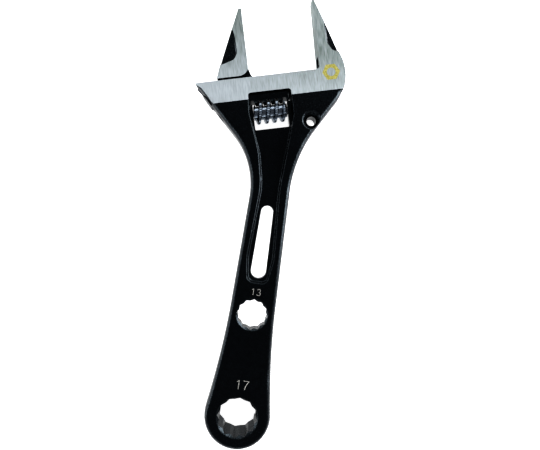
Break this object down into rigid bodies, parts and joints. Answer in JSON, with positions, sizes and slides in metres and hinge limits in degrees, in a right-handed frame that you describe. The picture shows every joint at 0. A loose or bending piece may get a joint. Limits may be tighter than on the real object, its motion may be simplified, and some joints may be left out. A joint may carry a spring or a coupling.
{
  "type": "adjustable wrench",
  "caption": "Adjustable wrench with thin wide-opening jaws, a worm-driven movable jaw, a slotted I-beam handle and two 12-point ring sockets.",
  "frame": {"origin": "under the middle of the bounding box, on the plane of the back faces", "axes": "+Y along the handle towards the jaws, +Z out of the front face, +X to the right of the front view"},
  "size_m": [0.0724, 0.2253, 0.0116],
  "materials": {
    "black_coat": "gloss black coated forging with bare brushed steel on the ground jaw faces",
    "ground_steel": "fine ground steel with black unground hollows",
    "worm_steel": "dark knurled steel",
    "pin_steel": "dark oxide steel",
    "spring_steel": "bright spring wire",
    "size_numerals": "light grey laser-marked numerals",
    "gold_mark": "satin gold printed mark"
  },
  "bodies": {
    "wrench": {"body": "black_coat", "worm_pin": "pin_steel", "worm_spring": "spring_steel"},
    "jaw": {"movable_jaw": "ground_steel"},
    "worm": {"worm": "worm_steel"}
  },
  "joints": [
    {"name": "jaw_slide", "type": "slide", "parent": "wrench", "child": "jaw", "axis": [0.9659, 0.2588, 0], "range_m": [-0.003, 0.03495]},
    {"name": "worm_spin", "type": "hinge", "parent": "wrench", "child": "worm", "pos_m": [0.00252, 0.05502, 0.0058], "axis": [0.9659, 0.2588, 0], "range_deg": [-271, 3147]}
  ],
  "couplings": [
    {"joint": "worm_spin", "follows": "jaw_slide", "rad_per_m": 1570.8}
  ]
}
